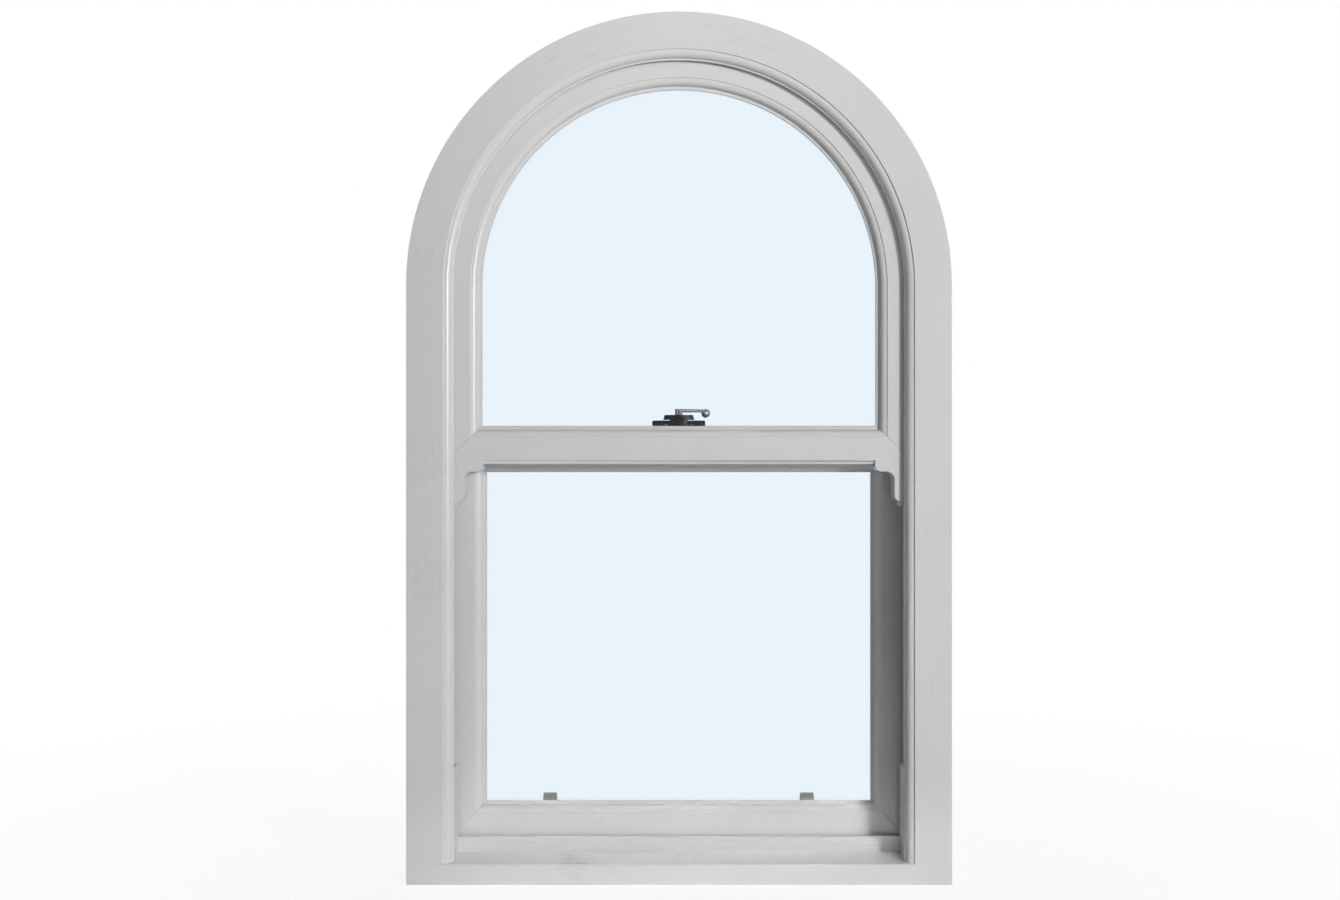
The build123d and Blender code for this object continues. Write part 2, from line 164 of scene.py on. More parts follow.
def white_plastic(name, run, tone=white, gloss=0.3, line_depth=0.012):
    """White plastic whose drawing lines run upright, level or round the arch."""
    material, tree, shader = new_material(name)
    place = tree.nodes.new("ShaderNodeTexCoord")
    apart = tree.nodes.new("ShaderNodeSeparateXYZ")
    link(tree, place.outputs["Object"], apart.inputs["Vector"])
    across = {"upright": apart.outputs["X"], "level": apart.outputs["Z"]}.get(run)
    along = {"upright": apart.outputs["Z"], "level": apart.outputs["X"]}.get(run)
    if run == "arch":
        rise = add_math(tree, "SUBTRACT", apart.outputs["Z"], springing)
        square = add_math(tree, "ADD", add_math(tree, "POWER", apart.outputs["X"], 2),
                          add_math(tree, "POWER", rise, 2))
        across = add_math(tree, "SQRT", square, 0)
        along = add_math(tree, "ARCTAN2", rise, apart.outputs["X"])
    together = tree.nodes.new("ShaderNodeCombineXYZ")
    closeness = arch_lines_across if run == "arch" else lines_across
    for way, measure, scale in (
        ("X", across, closeness),
        ("Y", apart.outputs["Y"], lines_across),
        ("Z", along, lines_along),
    ):
        link(tree, add_math(tree, "MULTIPLY", measure, scale), together.inputs[way])
    group = tree.nodes.new("ShaderNodeGroup")
    group.node_tree = drawing_lines
    group.inputs["Tone"].default_value = tone
    group.inputs["Gloss"].default_value = gloss
    group.inputs["Line Depth"].default_value = line_depth
    link(tree, together.outputs["Vector"], group.inputs["Along"])
    link(tree, group.outputs["Color"], shader.inputs["Base Color"])
    link(tree, group.outputs["Roughness"], shader.inputs["Roughness"])
    link(tree, group.outputs["Normal"], shader.inputs["Normal"])
    shader.inputs["IOR"].default_value = plastic_ior
    return material


def make_soft_edges():
    """Node group: eases the edges most at a cleaned mitre, and not at all at a flush joint."""
    tree = bpy.data.node_groups.new("soft_edges", "GeometryNodeTree")
    tree.interface.new_socket("Geometry", in_out="INPUT", socket_type="NodeSocketGeometry")
    for name in ("Flush Height", "Low Mitre", "High Mitre"):
        tree.interface.new_socket(name, in_out="INPUT", socket_type="NodeSocketFloat")
    tree.interface.new_socket("Geometry", in_out="OUTPUT", socket_type="NodeSocketGeometry")
    given = tree.nodes.new("NodeGroupInput")
    made = tree.nodes.new("NodeGroupOutput")
    angle = tree.nodes.new("GeometryNodeInputMeshEdgeAngle")
    position = tree.nodes.new("GeometryNodeInputPosition")
    apart = tree.nodes.new("ShaderNodeSeparateXYZ")
    link(tree, position.outputs[0], apart.inputs["Vector"])
    out = add_math(tree, "ABSOLUTE", apart.outputs["X"], 0)
    rise = apart.outputs["Z"]

    def lies_on(measured, wanted):
        gap = add_math(tree, "ABSOLUTE", add_math(tree, "SUBTRACT", measured, wanted), 0)
        return add_math(tree, "LESS_THAN", gap, on_joint)

    at_joint = lies_on(rise, given.outputs["Flush Height"])
    at_low = lies_on(add_math(tree, "ADD", out, rise), given.outputs["Low Mitre"])
    at_high = lies_on(add_math(tree, "SUBTRACT", out, rise), given.outputs["High Mitre"])
    at_weld = add_math(tree, "MAXIMUM", at_low, at_high)
    sharp = add_math(tree, "GREATER_THAN", angle.outputs["Unsigned Angle"], edge_angle)
    plain = edge_width / weld_width
    amount = add_math(tree, "ADD", plain, add_math(tree, "MULTIPLY", at_weld, 1 - plain))
    away = add_math(tree, "SUBTRACT", 1.0, at_joint)
    eased = add_math(tree, "MULTIPLY", add_math(tree, "MULTIPLY", sharp, away), amount)
    kept = add_math(tree, "MULTIPLY", sharp, at_joint)

    smooth = tree.nodes.new("GeometryNodeSetShadeSmooth")
    smooth.domain = "FACE"
    link(tree, given.outputs["Geometry"], smooth.inputs["Geometry"])
    crease = tree.nodes.new("GeometryNodeSetShadeSmooth")
    crease.domain = "EDGE"
    crease.inputs["Shade Smooth"].default_value = False
    link(tree, smooth.outputs["Geometry"], crease.inputs["Geometry"])
    link(tree, kept, crease.inputs["Selection"])
    store = tree.nodes.new("GeometryNodeStoreNamedAttribute")
    store.domain = "EDGE"
    store.data_type = "FLOAT"
    store.inputs["Name"].default_value = "bevel_weight_edge"
    link(tree, crease.outputs["Geometry"], store.inputs["Geometry"])
    link(tree, eased, store.inputs["Value"])
    link(tree, store.outputs["Geometry"], made.inputs["Geometry"])
    return tree


soft_edges = make_soft_edges()


def ease(piece, joints):
    """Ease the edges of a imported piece, whose joints are a flush height and two mitres."""
    weld = piece.modifiers.new("weld", "WELD")
    weld.merge_threshold = same_point
    flatten = piece.modifiers.new("flatten", "DECIMATE")
    flatten.decimate_type = "DISSOLVE"
    flatten.angle_limit = flat_angle
    mark = piece.modifiers.new("mark", "NODES")
    mark.node_group = soft_edges
    for name, place in zip(("Flush Height", "Low Mitre", "High Mitre"), joints):
        mark[soft_edges.interface.items_tree[name].identifier] = place
    bevel = piece.modifiers.new("ease", "BEVEL")
    bevel.limit_method = "WEIGHT"
    bevel.width = weld_width
    bevel.segments = 2
    bevel.use_clamp_overlap = False
    bevel.miter_outer = "MITER_ARC"
    shade = piece.modifiers.new("shade", "WEIGHTED_NORMAL")
    shade.keep_sharp = True


def finish_node(name, material, flush=-1.0, low_mitre=-1.0, high_mitre=-1.0):
    """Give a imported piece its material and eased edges."""
    piece = nodes[name]
    piece.material_slots[0].material = material
    ease(piece, (flush, low_mitre, high_mitre))


# Frame
# A box frame of one extrusion, bent for the head and welded to the jambs, on a sill with a
# sloped top. The welds at the springing are dressed flush and can't be seen.

white_upright = white_plastic("white_upright", "upright")
white_level = white_plastic("white_level", "level")
white_arch = white_plastic("white_arch", "arch")

finish_node("frame_sill", white_level)
finish_node("frame_head", white_arch, flush=springing)
for side in ("left", "right"):
    finish_node(f"frame_jamb_{side}", white_upright, flush=springing)


# Parting and staff beads
# The thin fin between the two tracks and the bevelled bead on the room side are clipped to
# the track floor and run on round the head.

for kind in ("parting_bead", "staff_bead"):
    finish_node(f"{kind}_head", white_arch, flush=springing)
    for side in ("left", "right"):
        finish_node(f"{kind}_{side}", white_upright, flush=springing)
finish_node("staff_bead_bottom", white_level)


# Stop blocks and balances
# Sawn plastic fillers stand in the foot of the outer track. White enamelled tubes with the
# sash springs inside hang in the tracks, each held at its top by one screw.

trim_tone = (0.70, 0.70, 0.70, 1)
enamel_tone = (0.78, 0.78, 0.77, 1)
white_trim = white_plastic("white_trim", "upright", trim_tone, gloss=0.5, line_depth=0.06)
tube_enamel = white_plastic("tube_enamel", "upright", enamel_tone, gloss=0.25, line_depth=0.01)
for side in ("left", "right"):
    finish_node(f"stop_block_{side}", white_trim)
for sash in ("upper", "lower"):
    finish_node(f"{sash}_balance_tubes", tube_enamel)


# Upper sash
# Sash extrusion with the same stepped quarter round, bent for the head, mitred and welded at
# the two lower corners, with moulded ogee horns welded on below.

sash_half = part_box("upper_stile_right")[0].x
upper_mitre = sash_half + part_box("upper_meeting_rail")[1].z
finish_node("upper_sash_head", white_arch, flush=springing)
finish_node("upper_meeting_rail", white_level, flush=horn_seat, low_mitre=upper_mitre)
for side in ("left", "right"):
    finish_node(f"upper_stile_{side}", white_upright, flush=springing, low_mitre=upper_mitre)
    finish_node(f"sash_horn_{side}", white_upright, flush=horn_seat)


# Lower sash
# Four lengths of the same extrusion, mitred and welded at all four corners.

low_mitre = sash_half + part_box("lower_bottom_rail")[1].z
high_mitre = sash_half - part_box("lower_top_rail")[0].z
finish_node("lower_top_rail", white_level, high_mitre=high_mitre)
finish_node("lower_bottom_rail", white_level, low_mitre=low_mitre)
for side in ("left", "right"):
    finish_node(f"lower_stile_{side}", white_upright, low_mitre=low_mitre, high_mitre=high_mitre)


# Glazing beads
# Clip-in beads on the room side, cut to a mitre at the corners and bent round the head.

for sash in ("upper", "lower"):
    for side in ("left", "right"):
        finish_node(f"{sash}_glazing_bead_{side}", white_upright, flush=springing)
    finish_node(f"{sash}_glazing_bead_bottom", white_level)
finish_node("upper_glazing_bead_head", white_arch, flush=springing)
finish_node("lower_glazing_bead_top", white_level)


# Glass units
# Two panes of float glass on a folded aluminium spacer. The glass has the faint blue of the
# photograph, and lets light through to what is behind it.

glass_tint = (0.9005, 0.946, 0.986, 1)
glass_shadow = (0.94, 0.94, 0.94, 1)
glass_ior = 1.16
spacer_tone = (0.62, 0.63, 0.64, 1)
# The holes are painted as dark dots: painted shade standing in for their depth.
spacer_hole_shade_tone = (0.2, 0.2, 0.2, 1)
spacer_hole_pitch = 0.0035
spacer_hole_edge = (0.18, 0.24)


def clear_glass():
    """Clear float glass that lets the lamps through as well as what the eye sees."""
    material, tree, shader = new_material("clear_glass")
    shader.inputs["Base Color"].default_value = glass_tint
    shader.inputs["Roughness"].default_value = 0.0
    shader.inputs["Transmission Weight"].default_value = 1.0
    shader.inputs["IOR"].default_value = glass_ior
    clear = tree.nodes.new("ShaderNodeBsdfTransparent")
    clear.inputs["Color"].default_value = glass_shadow
    ray = tree.nodes.new("ShaderNodeLightPath")
    mix = tree.nodes.new("ShaderNodeMixShader")
    link(tree, ray.outputs["Is Shadow Ray"], mix.inputs["Fac"])
    link(tree, shader.outputs["BSDF"], mix.inputs[1])
    link(tree, clear.outputs["BSDF"], mix.inputs[2])
    link(tree, mix.outputs["Shader"], tree.nodes["Material Output"].inputs["Surface"])
    return material


def spacer_metal():
    """Mill-finish aluminium with a row of fine holes along the face to the cavity. The holes are
    painted shade: dark dots in place of their depth.
    """
    material, tree, shader = new_material("spacer_metal")
    place = tree.nodes.new("ShaderNodeTexCoord")
    dots = tree.nodes.new("ShaderNodeTexVoronoi")
    dots.inputs["Scale"].default_value = 1 / spacer_hole_pitch
    dots.inputs["Randomness"].default_value = 0.0
    link(tree, place.outputs["Object"], dots.inputs["Vector"])
    edge = tree.nodes.new("ShaderNodeMapRange")
    edge.inputs["From Min"].default_value, edge.inputs["From Max"].default_value = spacer_hole_edge
    link(tree, dots.outputs["Distance"], edge.inputs["Value"])
    tone = tree.nodes.new("ShaderNodeMix")
    tone.data_type = "RGBA"
    tone.inputs["A"].default_value = spacer_hole_shade_tone
    tone.inputs["B"].default_value = spacer_tone
    link(tree, edge.outputs["Result"], tone.inputs["Factor"])
    link(tree, tone.outputs["Result"], shader.inputs["Base Color"])
    shader.inputs["Metallic"].default_value = 1.0
    shader.inputs["Roughness"].default_value = 0.38
    return material


glass = clear_glass()
aluminium = spacer_metal()
for sash in ("upper", "lower"):
    for pane in ("outer", "inner"):
        nodes[f"{sash}_{pane}_pane"].material_slots[0].material = glass
    nodes[f"{sash}_spacer"].material_slots[0].material = aluminium


# Glazing gaskets
# Soft grey lips squeezed between the glass and the plastic, all round each sash, outside and
# on the room side. They show as a thin line along the edge of the glass.

gasket_tone = (0.66, 0.635, 0.62, 1)
gasket_reach = 0.0012
gasket_depth = 0.0014
lip_steps = 6
arch_steps = 64


def mesh_piece(name, vertices, faces, material, body, slot, sharp=0.7):
    """A piece made from vertices and faces, shaded smooth up to an angle."""
    mesh = bpy.data.meshes.new(name)
    mesh.from_pydata(vertices, [], faces)
    tidy = bmesh.new()
    tidy.from_mesh(mesh)
    bmesh.ops.recalc_face_normals(tidy, faces=tidy.faces)
    tidy.to_mesh(mesh)
    tidy.free()
    mesh.shade_smooth()
    mesh.set_sharp_from_angle(angle=sharp)
    piece = bpy.data.objects.new(name, mesh)
    collection.objects.link(piece)
    mesh.materials.append(material)
    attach(piece, body)
    return piece


def arched_line(half, low, mitred):
    """Points up the right, round the head and down the left, each with its outward way."""
    line = [(half, low, 1, -1 if mitred else 0)]
    for step in range(arch_steps + 1):
        angle = math.pi * step / arch_steps
        c, s = math.cos(angle), math.sin(angle)
        line.append((half * c, springing + half * s, c, s))
    line.append((-half, low, -1, -1 if mitred else 0))
    return line


def square_line(half, low, high):
    """The four corners of an opening, each with its outward way."""
    return [(half, low, 1, -1), (half, high, 1, 1), (-half, high, -1, 1), (-half, low, -1, -1)]


def drawn_along(name, section, line, closed, material, body, slot):
    """A strip whose section, of (outward, y) points, is carried along a line of the front view."""
    vertices = []
    for x, z, way_x, way_z in line:
        for out, y in section:
            vertices.append((x + way_x * out, y, z + way_z * out))
    count = len(section)
    stations = len(line)
    faces = []
    for i in range(stations if closed else stations - 1):
        j = (i + 1) % stations
        for k in range(count):
            m = (k + 1) % count
            faces.append((i * count + k, i * count + m, j * count + m, j * count + k))
    if not closed:
        faces.append(tuple(range(count)))
        last = (stations - 1) * count
        faces.append(tuple(last + k for k in reversed(range(count))))
    return mesh_piece(name, vertices, faces, material, body, slot)


def rubber(name, tone, roughness=0.6):
    """Soft extruded rubber, slightly uneven in tone."""
    material, tree, shader = new_material(name)
    place = tree.nodes.new("ShaderNodeTexCoord")
    group = tree.nodes.new("ShaderNodeGroup")
    group.node_tree = drawing_lines
    group.inputs["Tone"].default_value = tone
    group.inputs["Gloss"].default_value = roughness
    group.inputs["Line Depth"].default_value = 0.2
    link(tree, place.outputs["Object"], group.inputs["Along"])
    link(tree, group.outputs["Color"], shader.inputs["Base Color"])
    link(tree, group.outputs["Roughness"], shader.inputs["Roughness"])
    link(tree, group.outputs["Normal"], shader.inputs["Normal"])
    return material


def lip_section(seat, way):
    """Half-round lip that bears on the glass at a Y, on its outer or its room side."""
    points = [(0.0, seat)]
    for step in range(lip_steps + 1):
        angle = math.pi / 2 * step / lip_steps
        out = -gasket_reach * math.cos(angle)
        y = seat + way * gasket_depth * math.sin(angle)
        points.append((out, y))
    points.append((0.0, seat + way * gasket_depth))
    return points


gasket = rubber("gasket_grey", gasket_tone)
for sash, low_rail in (("upper", "upper_meeting_rail"), ("lower", "lower_bottom_rail")):
    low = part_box(low_rail)[1].z
    bead_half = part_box(f"{sash}_glazing_bead_right")[0].x
    bead_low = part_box(f"{sash}_glazing_bead_bottom")[1].z
    if sash == "upper":
        outer_line = arched_line(sash_half, low, True)
        inner_line = arched_line(bead_half, bead_low, True)
    else:
        outer_line = square_line(sash_half, low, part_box("lower_top_rail")[0].z)
        inner_line = square_line(bead_half, bead_low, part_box("lower_glazing_bead_top")[0].z)
    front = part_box(f"{sash}_outer_pane")[0].y
    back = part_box(f"{sash}_inner_pane")[1].y
    drawn_along(f"{sash}_outer_gasket", lip_section(front, -1), outer_line, True, gasket,
                f"{sash}_sash", "white_trim")
    drawn_along(f"{sash}_inner_gasket", lip_section(back, 1), inner_line, True, gasket,
                f"{sash}_sash", "white_trim")


# Weather pile
# Siliconised wool pile on a woven backing closes the gaps beside each sash. It is held in the
# nib, on both sides of the parting bead and on the staff bead, and stops short of the sashes.

pile_tone = (0.07, 0.07, 0.07, 1)
pile_hollow_shade_tone = (0.02, 0.02, 0.02, 1)
tuft_scale = 1400
tuft_height = 0.0004
pile_clear = 0.0004
pile_width = 0.005
backing_depth = 0.0008
tuft_shoulder = 0.0006
pile_in_wide = 0.009
pile_in_fin = 0.0085
pile_end_gap = 0.002
nib_pile_gap = 0.004


def wool_pile():
    """Dark cut pile, rough and matt, with tufts of uneven tone, darker where the bump is low:
    painted shade in the hollows between tufts.
    """
    material, tree, shader = new_material("wool_pile")
    place = tree.nodes.new("ShaderNodeTexCoord")
    tufts = tree.nodes.new("ShaderNodeTexNoise")
    tufts.inputs["Scale"].default_value = tuft_scale
    tufts.inputs["Detail"].default_value = 3
    link(tree, place.outputs["Object"], tufts.inputs["Vector"])
    # The darker tone falls where the bump is low: painted shade in the hollows between tufts.
    tone = tree.nodes.new("ShaderNodeMix")
    tone.data_type = "RGBA"
    tone.inputs["A"].default_value = pile_hollow_shade_tone
    tone.inputs["B"].default_value = pile_tone
    link(tree, tufts.outputs["Fac"], tone.inputs["Factor"])
    link(tree, tone.outputs["Result"], shader.inputs["Base Color"])
    bump = tree.nodes.new("ShaderNodeBump")
    bump.inputs["Strength"].default_value = 0.8
    bump.inputs["Distance"].default_value = tuft_height
    link(tree, tufts.outputs["Fac"], bump.inputs["Height"])
    link(tree, bump.outputs["Normal"], shader.inputs["Normal"])
    shader.inputs["Roughness"].default_value = 0.95
    shader.inputs["Sheen Weight"].default_value = 0.3
    return material


def pile_section(seat, reach):
    """Backing strip with a rounded tuft that reaches from its seat towards the sash."""
    half = pile_width / 2
    way = 1 if reach > seat else -1
    tip = reach - way * pile_clear
    backing = seat + way * backing_depth
    shoulder = tip - way * tuft_shoulder
    tuft = [(-half * 0.62, backing), (-half * 0.5, shoulder), (-half * 0.2, tip),
            (half * 0.2, tip), (half * 0.5, shoulder), (half * 0.62, backing)]
    return [(-half, seat), (-half, backing)] + tuft + [(half, backing), (half, seat)]


pile = wool_pile()
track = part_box("parting_bead_right")[1].x
low_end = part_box("parting_bead_right")[0].z + pile_end_gap
upper_front, upper_back = (b.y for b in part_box("upper_stile_right"))
lower_front, lower_back = (b.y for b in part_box("lower_stile_right"))
parting_front, parting_back = (b.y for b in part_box("parting_bead_right"))
staff_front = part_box("staff_bead_right")[0].y
nib_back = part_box("stop_block_right")[0].y
stop_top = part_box("stop_block_right")[1].z
riser_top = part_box("frame_sill")[1].z
for name, centre, seat, reach, low in (
    ("nib_pile", track - pile_in_wide, nib_back, upper_front, stop_top + nib_pile_gap),
    ("parting_pile_front", track - pile_in_fin, parting_front, upper_back,
     riser_top + pile_end_gap),
    ("parting_pile_back", track - pile_in_fin, parting_back, lower_front, low_end),
    ("staff_pile", track - pile_in_wide, staff_front, lower_back, low_end),
):
    drawn_along(name, pile_section(seat, reach), arched_line(centre, low, False), False, pile,
                "frame", "white_trim")


# Fixing screws
# Small countersunk screws with a cross recess hold the plinth, the keeper, the finger lifts
# and the tops of the balances.

screw_steps = 40
screw_rings = (0.12, 0.17, 0.24, 0.4, 0.58, 0.62, 0.8, 0.93, 1.0)
cross_arm = 0.17
cross_reach = 0.58
head_dome = 0.09
head_rim = 0.0003
head_foot = 0.00003
steel_tone = (0.55, 0.55, 0.54, 1)
steel_roughness = (0.22, 0.42)
turning_scale = 2500


def screw_steel():
    """Bright zinc-plated steel with fine turning marks."""
    material, tree, shader = new_material("screw_steel")
    place = tree.nodes.new("ShaderNodeTexCoord")
    marks = tree.nodes.new("ShaderNodeTexNoise")
    marks.inputs["Scale"].default_value = turning_scale
    link(tree, place.outputs["Object"], marks.inputs["Vector"])
    rough = tree.nodes.new("ShaderNodeMapRange")
    rough.inputs["To Min"].default_value, rough.inputs["To Max"].default_value = steel_roughness
    link(tree, marks.outputs["Fac"], rough.inputs["Value"])
    link(tree, rough.outputs["Result"], shader.inputs["Roughness"])
    shader.inputs["Base Color"].default_value = steel_tone
    shader.inputs["Metallic"].default_value = 1.0
    return material


def screw(name, place, facing, diameter, body):
    """A screw head on a surface, facing along a direction, with a cross recess."""
    radius = diameter / 2
    up = Vector(facing)
    side = up.orthogonal().normalized()
    other = up.cross(side)
    arm = radius * cross_arm
    reach = radius * cross_reach
    vertices = []
    for ring in screw_rings:
        for step in range(screw_steps):
            angle = 2 * math.pi * (step + 0.5) / screw_steps
            a = ring * radius * math.cos(angle)
            b = ring * radius * math.sin(angle)
            dome = diameter * head_dome * (1 - ring ** 2) + (head_rim if ring < 1 else 0.0)
            in_cross = (abs(a) < arm and abs(b) < reach) or (abs(b) < arm and abs(a) < reach)
            height = head_foot if in_cross else max(dome, head_foot)
            vertices.append(tuple(Vector(place) + side * a + other * b + up * height))
    vertices.append(tuple(Vector(place) + up * head_foot))
    centre = len(vertices) - 1
    faces = []
    for step in range(screw_steps):
        after = (step + 1) % screw_steps
        faces.append((centre, step, after))
        for ring in range(len(screw_rings) - 1):
            base, outer = ring * screw_steps, (ring + 1) * screw_steps
            faces.append((base + step, outer + step, outer + after, base + after))
    return mesh_piece(name, vertices, faces, bright_steel, body, "satin_chrome", sharp=0.5)


bright_steel = screw_steel()
plinth_low, plinth_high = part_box("catch_base")
plinth_y = (plinth_low.y + plinth_high.y) / 2
keeper_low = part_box("catch_keeper")[0]
keeper_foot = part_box("upper_meeting_rail")[1].z + 0.003
plinth_screw_x, plinth_screw_size = 0.0245, 0.0068
keeper_screw_x, keeper_screw_y, keeper_screw_size = 0.0175, 0.0042, 0.005
lift_screw_rows, lift_plate, lift_screw_size = (0.006, 0.019), 0.003, 0.0052
balance_screw_in, balance_screw_down, balance_screw_size = 0.014, 0.011, 0.006
for side, way in (("left", -1), ("right", 1)):
    screw(f"plinth_screw_{side}", (way * plinth_screw_x, plinth_y, plinth_high.z),
          (0, 0, 1), plinth_screw_size, "lower_sash")
    screw(f"keeper_screw_{side}",
          (way * keeper_screw_x, keeper_low.y + keeper_screw_y, keeper_foot),
          (0, 0, 1), keeper_screw_size, "upper_sash")
    lift_low, lift_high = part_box(f"finger_lift_{side}")
    lift_x = (lift_low.x + lift_high.x) / 2
    for row in lift_screw_rows:
        screw(f"lift_screw_{side}_{round(row * 1000)}",
              (lift_x, lift_low.y + lift_plate, lift_low.z + row), (0, 1, 0), lift_screw_size,
              "lower_sash")
    for sash in ("upper", "lower"):
        tube_low, tube_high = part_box(f"{sash}_balance_tubes")
        screw(f"{sash}_balance_screw_{side}",
              (way * (tube_high.x - balance_screw_in), (tube_low.y + tube_high.y) / 2,
               tube_high.z - balance_screw_down),
              (-way, 0, 0), balance_screw_size, "frame")


# Catch and finger lifts
# Die-cast catch: a plinth, hook and keeper of chrome given a near-black tone, which is painted
# dark reflection and shade; a ribbed post whose dark core paints the dark bands of its reflection;
# and a satin lever with a ball, cast in one. The finger lifts are bent from satin-plated strip.

# Near-black tone: painted reflection and shade, standing in for the dark that the chrome catch
# shows.
dark_reflection_tone = (0.016, 0.016, 0.016, 1)
satin_tone = (0.31, 0.275, 0.242, 1)
polish_scale = (120, 120, 2600)
polish_swing = (0.08, 0.1)
polish_depth = 0.00005


def plated(name, tone, roughness, brush):
    """Plated die casting with fine polishing marks across it."""
    material, tree, shader = new_material(name)
    place = tree.nodes.new("ShaderNodeTexCoord")
    stretch = tree.nodes.new("ShaderNodeMapping")
    stretch.inputs["Scale"].default_value = polish_scale
    link(tree, place.outputs["Object"], stretch.inputs["Vector"])
    marks = tree.nodes.new("ShaderNodeTexNoise")
    marks.inputs["Scale"].default_value = 1
    marks.inputs["Detail"].default_value = 3
    link(tree, stretch.outputs["Vector"], marks.inputs["Vector"])
    rough = tree.nodes.new("ShaderNodeMapRange")
    rough.inputs["To Min"].default_value = roughness - polish_swing[0]
    rough.inputs["To Max"].default_value = roughness + polish_swing[1]
    link(tree, marks.outputs["Fac"], rough.inputs["Value"])
    link(tree, rough.outputs["Result"], shader.inputs["Roughness"])
    bump = tree.nodes.new("ShaderNodeBump")
    bump.inputs["Strength"].default_value = brush
    bump.inputs["Distance"].default_value = polish_depth
    link(tree, marks.outputs["Fac"], bump.inputs["Height"])
    link(tree, bump.outputs["Normal"], shader.inputs["Normal"])
    shader.inputs["Base Color"].default_value = tone
    shader.inputs["Metallic"].default_value = 1.0
    return material


# The plinth, hook, keeper and post core get the near-black tone: painted dark reflection and shade
# on chrome.
dark_plate = plated("dark_plate", dark_reflection_tone, 0.3, 0.15)
satin_plate = plated("satin_plate", satin_tone, 0.42, 0.3)
for name in ("catch_base", "catch_hook", "catch_keeper"):
    finish_node(name, dark_plate)
for name in ("finger_lift_left", "finger_lift_right"):
    finish_node(name, satin_plate)

turned_steps = 32
rib_steps = 12
ball_steps = 24
post_radius = 0.0058
core_radius = 0.0048
ball_radius = 0.0064
rib_count = 8
rib_radius = 0.0010
post_sink = 0.0005
arm_drop = 0.0028
arm_squareness = 0.55
lever_low, lever_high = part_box("catch_lever")
post_y = (lever_low.y + lever_high.y) / 2
post_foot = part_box("catch_hook")[1].z
post_top = lever_high.z
ball_x = lever_high.x - ball_radius


def loft(rings):
    """Vertices and faces of a closed solid carried through rings of as many points each."""
    count = len(rings[0])
    last = (len(rings) - 1) * count
    faces = [tuple(range(count)), tuple(last + k for k in range(count))]
    for i in range(len(rings) - 1):
        for k in range(count):
            m = (k + 1) % count
            faces.append((i * count + k, i * count + m, (i + 1) * count + m, (i + 1) * count + k))
    return [point for ring in rings for point in ring], faces


def turned(profile, x, y, steps=turned_steps):
    """A solid turned about an upright line, from (radius, z) points."""
    angles = [2 * math.pi * k / steps for k in range(steps)]
    rings = []
    for r, z in profile:
        rings.append([(x + r * math.cos(a), y + r * math.sin(a), z) for a in angles])
    return loft(rings)


def joined(solids):
    """One list of vertices and one of faces from several solids."""
    vertices, faces = [], []
    for points, sides in solids:
        start = len(vertices)
        vertices += points
        faces += [tuple(start + k for k in side) for side in sides]
    return vertices, faces


def lever_arm():
    """Flat rounded arm that narrows from the post and swells again at the ball."""
    stations = ((0.001, 0.0060, 0.0042), (0.005, 0.0082, 0.0050), (0.011, 0.0070, 0.0050),
                (0.020, 0.0058, 0.0048), (0.028, 0.0058, 0.0046), (0.034, 0.0070, 0.0048))
    rings = []
    for x, width, thickness in stations:
        ring = []
        for k in range(turned_steps):
            angle = 2 * math.pi * k / turned_steps
            c, s = math.cos(angle), math.sin(angle)
            across = math.copysign(abs(c) ** arm_squareness, c) * width / 2
            upright = math.copysign(abs(s) ** arm_squareness, s) * thickness / 2
            ring.append((x, post_y + across, post_top - arm_drop + upright))
        rings.append(ring)
    return loft(rings)


def ball():
    """Round grip, turned."""
    low = post_top - 2 * ball_radius
    profile = []
    for k in range(1, ball_steps):
        angle = math.pi * k / ball_steps
        profile.append((ball_radius * math.sin(angle), low + ball_radius * (1 - math.cos(angle))))
    return turned(profile, ball_x, post_y)


cap = turned(((post_radius, post_top - 0.0016), (post_radius, post_top - 0.0010),
              (post_radius - 0.0003, post_top - 0.0004), (post_radius - 0.0012, post_top - 0.0001),
              (0.0004, post_top)), 0, post_y)
lever = mesh_piece("catch_ball_lever", *joined((cap, lever_arm(), ball())), satin_plate,
                   "catch_lever", "satin_chrome")
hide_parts("catch_lever")
# The dark core between the satin ribs is painted reflection: it stands in for the dark bands of a
# polished post.
core = turned(((core_radius, post_foot - post_sink), (core_radius, post_top - 0.002)), 0, post_y)
mesh_piece("catch_post_core", *core, dark_plate, "catch_lever", "dark_plate")
ribs = []
for k in range(rib_count):
    angle = 2 * math.pi * (k + 0.5) / rib_count
    reach = post_radius - rib_radius
    profile = ((rib_radius, post_foot - post_sink), (rib_radius, post_top - 0.0012))
    place = (reach * math.cos(angle), post_y + reach * math.sin(angle))
    ribs.append(turned(profile, *place, steps=rib_steps))
mesh_piece("catch_post_ribs", *joined(ribs), satin_plate, "catch_lever", "satin_chrome")


# Studio
# A soft key lamp far off to the right, faint beams on the sill, the foot and the top of the
# arch, three broad lamps for the other sides, and a pale floor. The background is white.

# Name, place, aim, width and height, spread in degrees, power in watts.
lamps = (
    ("key", (3.864, -5.127, 1.617), (0, 0, 0.6), (1.3, 1.3), 180, 268),
    ("slope", (0, -0.3, 1.6), (0, -0.03, 0.05), (0.75, 0.1), 10, 0.155),
    ("low", (0, -1.2, 0.06), (0, -0.07, 0.04), (1.0, 0.08), 10, 0.042),
    ("top", (0, -0.5, 1.3), (0, 0, 1.15), (0.4, 0.4), 180, 0.43),
    ("back", (0.9, 3.9, 1.4), (0, 0, 0.6), (1.1, 1.1), 180, 108),
    ("side", (-4.0, 0.35, 1.1), (0, 0, 0.6), (1.2, 1.2), 180, 40),
    ("above", (0, 0.45, 4.0), (0, 0, 0.6), (1.4, 1.4), 180, 22),
)
floor_tone = (0.86, 0.86, 0.86, 1)
floor_glow = 0.9
floor_fade = (0.5, 1.6)


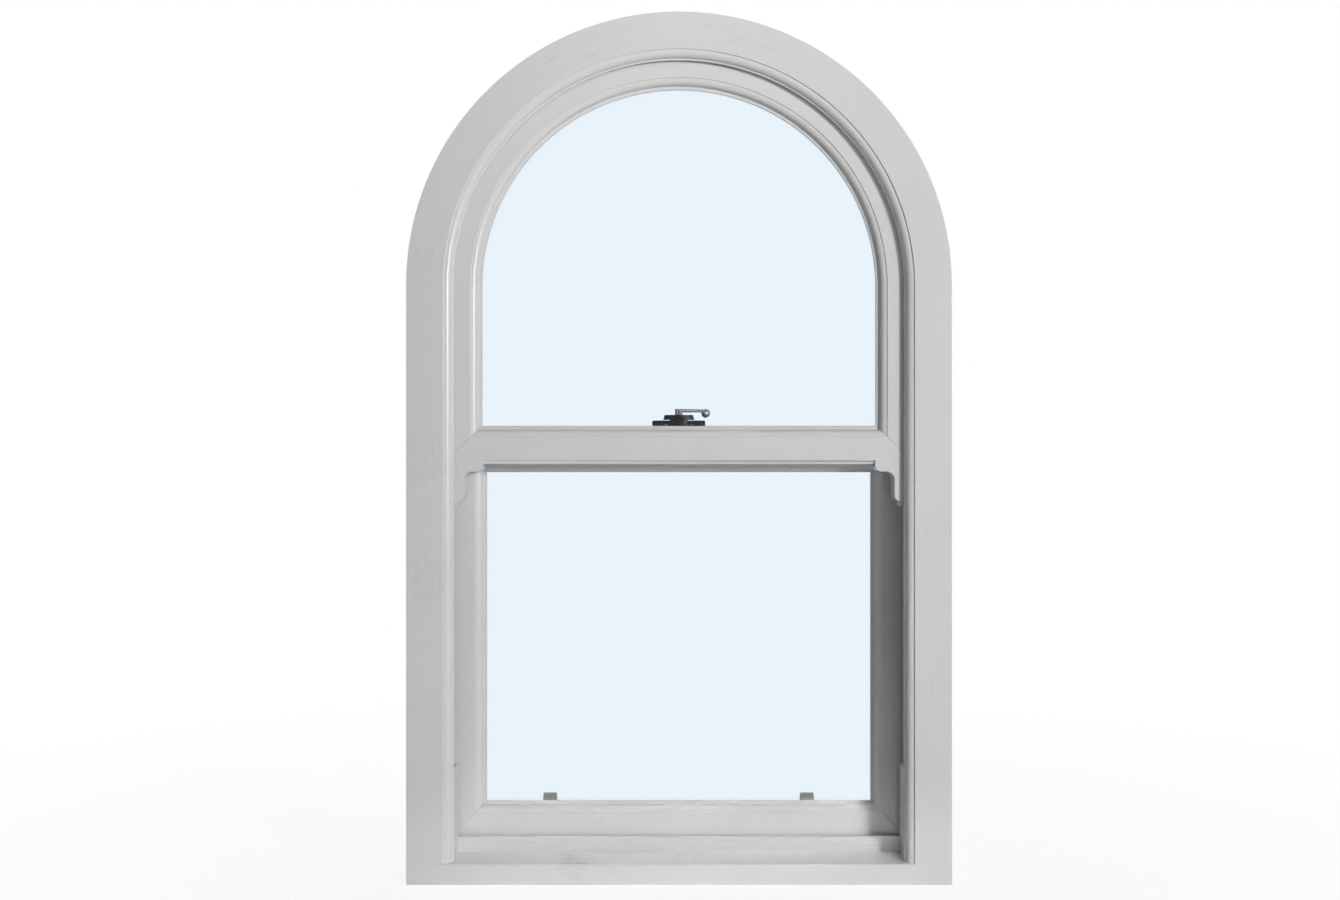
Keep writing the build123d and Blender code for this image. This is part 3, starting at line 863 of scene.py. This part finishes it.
def white_floor():
    """Pale floor that goes white before the lens and keeps a light shadow."""
    material, tree, shader = new_material("white_floor")
    shader.inputs["Base Color"].default_value = floor_tone
    shader.inputs["Roughness"].default_value = 0.9
    glow = tree.nodes.new("ShaderNodeEmission")
    ray = tree.nodes.new("ShaderNodeLightPath")
    place = tree.nodes.new("ShaderNodeTexCoord")
    away = tree.nodes.new("ShaderNodeVectorMath")
    away.operation = "LENGTH"
    link(tree, place.outputs["Object"], away.inputs[0])
    fade = tree.nodes.new("ShaderNodeMapRange")
    fade.inputs["From Min"].default_value, fade.inputs["From Max"].default_value = floor_fade
    fade.inputs["To Min"].default_value = floor_glow
    link(tree, away.outputs["Value"], fade.inputs["Value"])
    seen = add_math(tree, "MULTIPLY", ray.outputs["Is Camera Ray"], fade.outputs["Result"])
    through = add_math(tree, "MAXIMUM", ray.outputs["Is Transmission Ray"],
                       ray.outputs["Is Glossy Ray"])
    first = add_math(tree, "LESS_THAN", ray.outputs["Diffuse Depth"], 0.5)
    through = add_math(tree, "MULTIPLY", through, first)
    mix = tree.nodes.new("ShaderNodeMixShader")
    link(tree, add_math(tree, "MAXIMUM", seen, through), mix.inputs["Fac"])
    link(tree, shader.outputs["BSDF"], mix.inputs[1])
    link(tree, glow.outputs["Emission"], mix.inputs[2])
    link(tree, mix.outputs["Shader"], tree.nodes["Material Output"].inputs["Surface"])
    return material


floor_half = 6.0
floor_mesh = bpy.data.meshes.new("floor")
floor_mesh.from_pydata(
    [(-floor_half, -floor_half, 0), (floor_half, -floor_half, 0), (floor_half, floor_half, 0),
     (-floor_half, floor_half, 0)], [], [(0, 1, 2, 3)])
floor_mesh.materials.append(white_floor())
floor = bpy.data.objects.new("floor", floor_mesh)
collection.objects.link(floor)

world = bpy.data.worlds.new("studio")
bpy.context.scene.world = world
world.use_nodes = True
sky = world.node_tree
back = sky.nodes["Background"]
back.inputs["Color"].default_value = (1, 1, 1, 1)
ray = sky.nodes.new("ShaderNodeLightPath")
seen = add_math(sky, "MAXIMUM", ray.outputs["Is Camera Ray"], ray.outputs["Is Glossy Ray"])
seen = add_math(sky, "MAXIMUM", seen, ray.outputs["Is Transmission Ray"])
first = add_math(sky, "LESS_THAN", ray.outputs["Diffuse Depth"], 0.5)
seen = add_math(sky, "MULTIPLY", seen, first)
link(sky, seen, back.inputs["Strength"])

for name, place, aim, size, spread, power in lamps:
    light = bpy.data.lights.new(name, "AREA")
    light.shape = "ELLIPSE"
    light.size, light.size_y = size
    light.spread = math.radians(spread)
    light.energy = power
    lamp = bpy.data.objects.new(name, light)
    collection.objects.link(lamp)
    lamp.location = place
    lamp.rotation_mode = "QUATERNION"
    lamp.rotation_quaternion = (Vector(aim) - Vector(place)).to_track_quat("-Z", "Y")
    lamp.visible_camera = False
    lamp.visible_transmission = False
    lamp.visible_glossy = name == "key"


# Camera
# It looks straight at the window from outside, level, at the photograph's distance.

camera_place = (-0.0124, -2.1675, 0.5975)
camera_lens = 41.07
camera_data = bpy.data.cameras.new("camera")
camera_data.sensor_width = 36.0
camera_data.lens = camera_lens
camera = bpy.data.objects.new("camera", camera_data)
collection.objects.link(camera)
camera.location = camera_place
camera.rotation_euler = (math.pi / 2, 0, 0)
bpy.context.scene.camera = camera
bpy.context.scene.view_settings.view_transform = "Standard"
